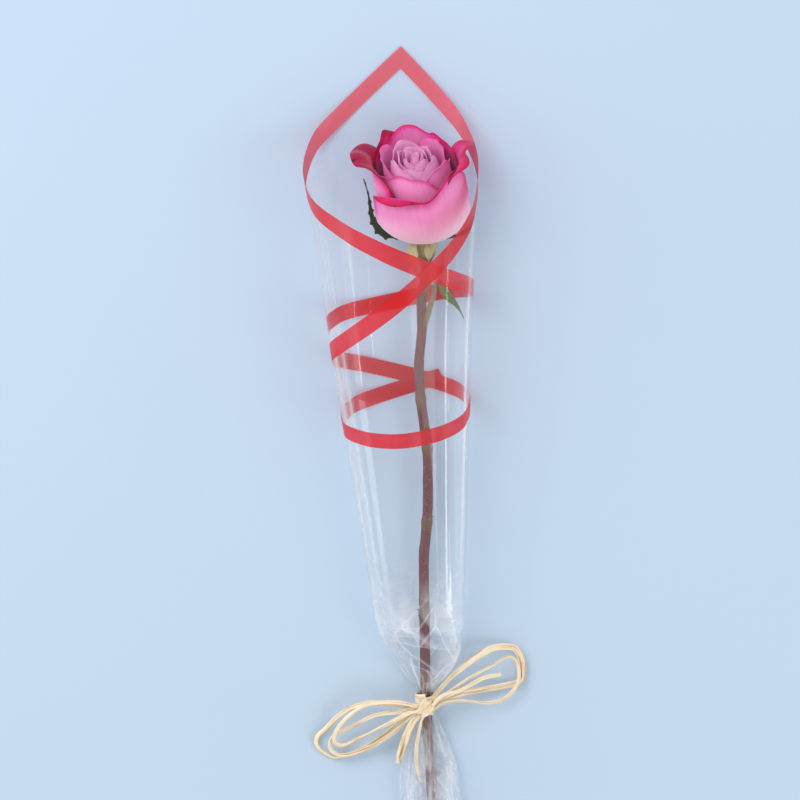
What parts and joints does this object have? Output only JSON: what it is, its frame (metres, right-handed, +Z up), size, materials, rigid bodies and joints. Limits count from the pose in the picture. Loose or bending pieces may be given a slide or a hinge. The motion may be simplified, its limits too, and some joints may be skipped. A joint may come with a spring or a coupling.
{
  "type": "single rose in a film wrapper",
  "caption": "Long-stemmed two-tone pink cut rose in a clear rolled film sleeve with a red border, gathered at the neck and tied with a raffia bow, lying on its back.",
  "frame": {"origin": "on the table under the middle of the whole part's bounding box", "axes": "+Z up from the table, +Y along the stem towards the flower, +X to the right for someone looking down with the flower at the top"},
  "size_m": [0.1126, 0.4418, 0.0702],
  "materials": {
    "outer_petals": "satin petal, lilac-pink with a magenta-red margin",
    "inner_petals": "satin petal, deeper pink towards the heart",
    "leaf": "dull waxy green",
    "stem": "smooth brown-red bark over green",
    "film": "clear glossy film with a printed red border",
    "raffia": "dry matt fibre"
  },
  "bodies": {
    "root": {"film_sleeve": "film", "guard_petal_back_left": "outer_petals", "guard_petal_back_right": "outer_petals", "guard_petal_front": "outer_petals", "guard_petal_left": "outer_petals", "guard_petal_right": "outer_petals", "heart_bud": "inner_petals", "heart_petal_1": "inner_petals", "heart_petal_2": "inner_petals", "heart_petal_3": "inner_petals", "inner_petal_1": "inner_petals", "inner_petal_2": "inner_petals", "inner_petal_3": "inner_petals", "inner_petal_4": "inner_petals", "inner_petal_5": "inner_petals", "raffia_band": "raffia", "raffia_end_left": "raffia", "raffia_end_middle": "raffia", "raffia_end_right": "raffia", "raffia_knot": "raffia", "raffia_loop_left_high": "raffia", "raffia_loop_left_low": "raffia", "raffia_loop_left_middle": "raffia", "raffia_loop_right_low": "raffia", "raffia_loop_right_middle": "raffia", "second_petal_back": "outer_petals", "second_petal_back_right": "outer_petals", "second_petal_front": "outer_petals", "second_petal_left": "outer_petals", "second_petal_right": "outer_petals", "sepal_back": "leaf", "sepal_front": "leaf", "sepal_front_left": "leaf", "sepal_left": "leaf", "sepal_right": "leaf", "shoot_leaf": "leaf", "stem": "stem", "stipule": "leaf", "third_petal_1": "inner_petals", "third_petal_2": "inner_petals", "third_petal_3": "inner_petals", "third_petal_4": "inner_petals", "third_petal_5": "inner_petals"}
  },
  "joints": []
}
